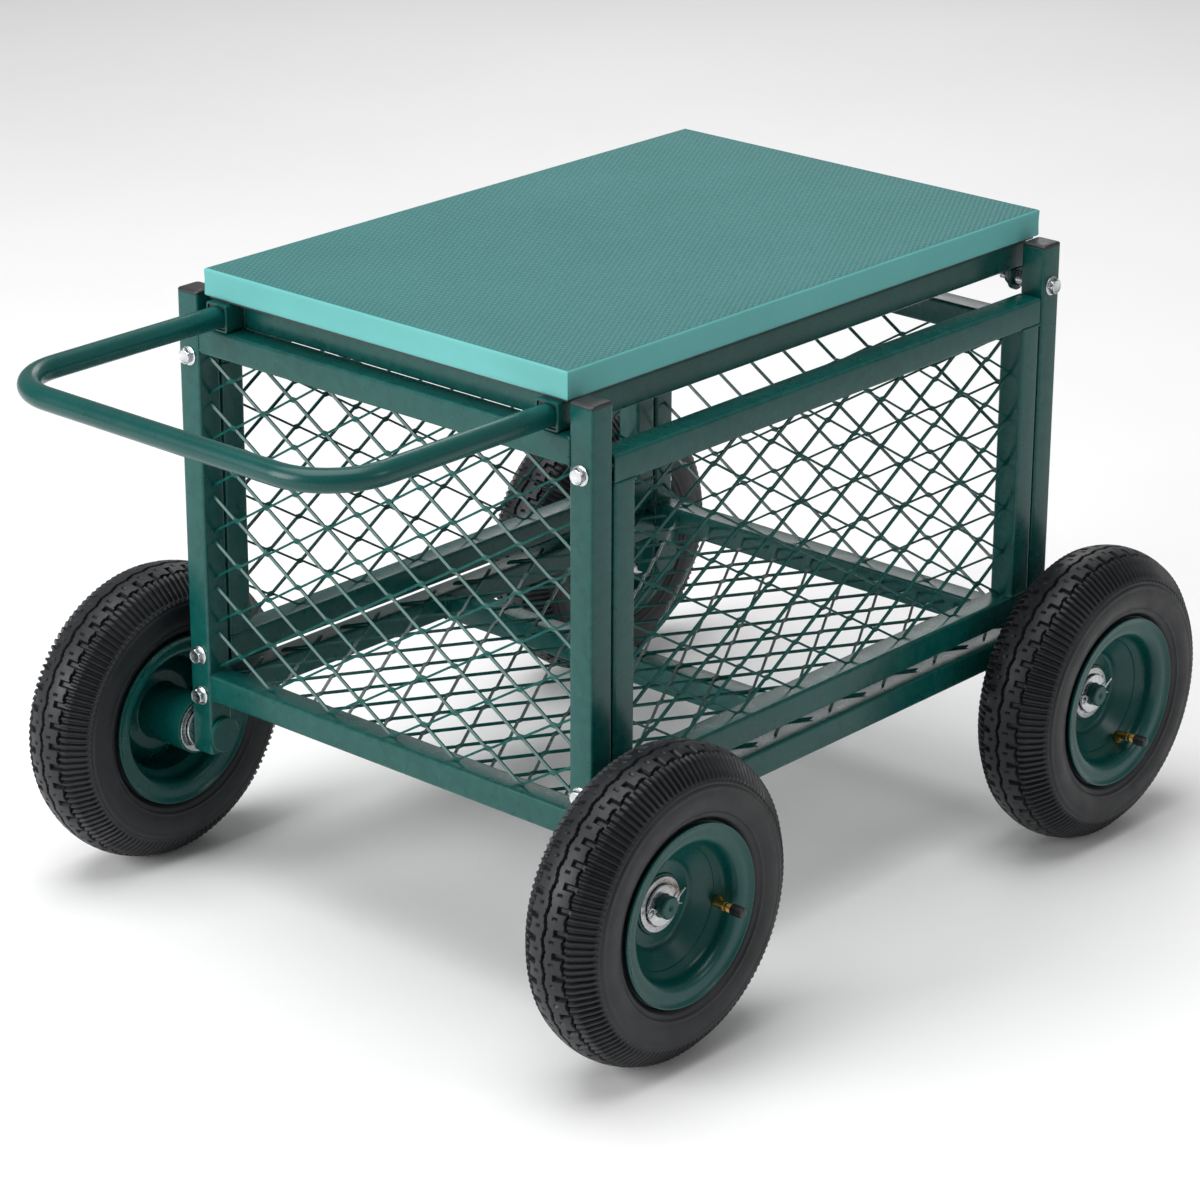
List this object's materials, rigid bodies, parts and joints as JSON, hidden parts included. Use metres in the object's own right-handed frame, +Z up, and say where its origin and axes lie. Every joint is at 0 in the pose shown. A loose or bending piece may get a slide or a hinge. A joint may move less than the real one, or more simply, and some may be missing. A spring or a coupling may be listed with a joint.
{
  "type": "garden work cart",
  "caption": "Rolling garden work seat: mesh basket in a square-tube frame on pneumatic wheels, with a hinged foam seat and a pull-out U handle.",
  "frame": {"origin": "on the ground under the middle of the bounding box", "axes": "+Z up, +X toward the rear (hinge end), -X toward the handle, +Y to the right-hand side"},
  "size_m": [0.8065, 0.571, 0.4643],
  "materials": {
    "frame_paint": "satin powder coat",
    "tyre_rubber": "matt",
    "tube_rubber": "matt",
    "bearing_steel": "satin",
    "valve_brass": "satin",
    "zinc": "zinc plated",
    "black_plastic": "matt",
    "pad_foam": "matt closed-cell foam",
    "board_panel": "matt"
  },
  "bodies": {
    "chassis": {"axle_front_left": "frame_paint", "axle_front_right": "frame_paint", "axle_rear_left": "frame_paint", "axle_rear_right": "frame_paint", "axle_washers": "zinc", "floor_cross_member": "frame_paint", "floor_mesh": "frame_paint", "floor_rail_left": "frame_paint", "floor_rail_right": "frame_paint", "frame_bolts": "zinc", "front_bottom_rail": "frame_paint", "front_mesh": "frame_paint", "front_top_rail": "frame_paint", "hinge_bolts": "zinc", "hinge_nuts": "zinc", "hinge_spacers": "zinc", "post_caps": "black_plastic", "post_front_left": "frame_paint", "post_front_right": "frame_paint", "post_rear_left": "frame_paint", "post_rear_right": "frame_paint", "rear_bottom_rail": "frame_paint", "rear_mesh": "frame_paint", "rear_top_rail": "frame_paint", "side_frame_left": "frame_paint", "side_frame_right": "frame_paint", "side_mesh_left": "frame_paint", "side_mesh_right": "frame_paint", "split_pins": "zinc"},
    "seat": {"handle_guide_bushes": "black_plastic", "hinge_ears": "frame_paint", "seat_board": "board_panel", "seat_front_crossrail": "frame_paint", "seat_middle_crossrail": "frame_paint", "seat_pad": "pad_foam", "seat_rail_left": "frame_paint", "seat_rail_right": "frame_paint", "seat_rear_crossrail": "frame_paint"},
    "handle": {"handle_tube": "frame_paint", "handle_end_glides": "black_plastic"},
    "wheel_front_left": {"tyre_front_left": "tyre_rubber", "inner_tube_front_left": "tube_rubber", "rim_front_left": "frame_paint", "bearings_front_left": "bearing_steel", "valve_front_left": "valve_brass"},
    "wheel_front_right": {"tyre_front_right": "tyre_rubber", "inner_tube_front_right": "tube_rubber", "rim_front_right": "frame_paint", "bearings_front_right": "bearing_steel", "valve_front_right": "valve_brass"},
    "wheel_rear_left": {"tyre_rear_left": "tyre_rubber", "inner_tube_rear_left": "tube_rubber", "rim_rear_left": "frame_paint", "bearings_rear_left": "bearing_steel", "valve_rear_left": "valve_brass"},
    "wheel_rear_right": {"tyre_rear_right": "tyre_rubber", "inner_tube_rear_right": "tube_rubber", "rim_rear_right": "frame_paint", "bearings_rear_right": "bearing_steel", "valve_rear_right": "valve_brass"}
  },
  "joints": [
    {"name": "seat_hinge", "type": "hinge", "parent": "chassis", "child": "seat", "pos_m": [0.29225, 0, 0.4143], "axis": [0, 1, 0], "range_deg": [0, 110]},
    {"name": "handle_slide", "type": "slide", "parent": "seat", "child": "handle", "axis": [1, 0, 0], "range_m": [0, 0.14]},
    {"name": "wheel_spin_front_left", "type": "hinge", "parent": "chassis", "child": "wheel_front_left", "pos_m": [-0.19175, -0.2425, 0.111], "axis": [0, 1, 0], "continuous": true},
    {"name": "wheel_spin_front_right", "type": "hinge", "parent": "chassis", "child": "wheel_front_right", "pos_m": [-0.19175, 0.2425, 0.111], "axis": [0, 1, 0], "continuous": true},
    {"name": "wheel_spin_rear_left", "type": "hinge", "parent": "chassis", "child": "wheel_rear_left", "pos_m": [0.29225, -0.2425, 0.111], "axis": [0, 1, 0], "continuous": true},
    {"name": "wheel_spin_rear_right", "type": "hinge", "parent": "chassis", "child": "wheel_rear_right", "pos_m": [0.29225, 0.2425, 0.111], "axis": [0, 1, 0], "continuous": true}
  ]
}
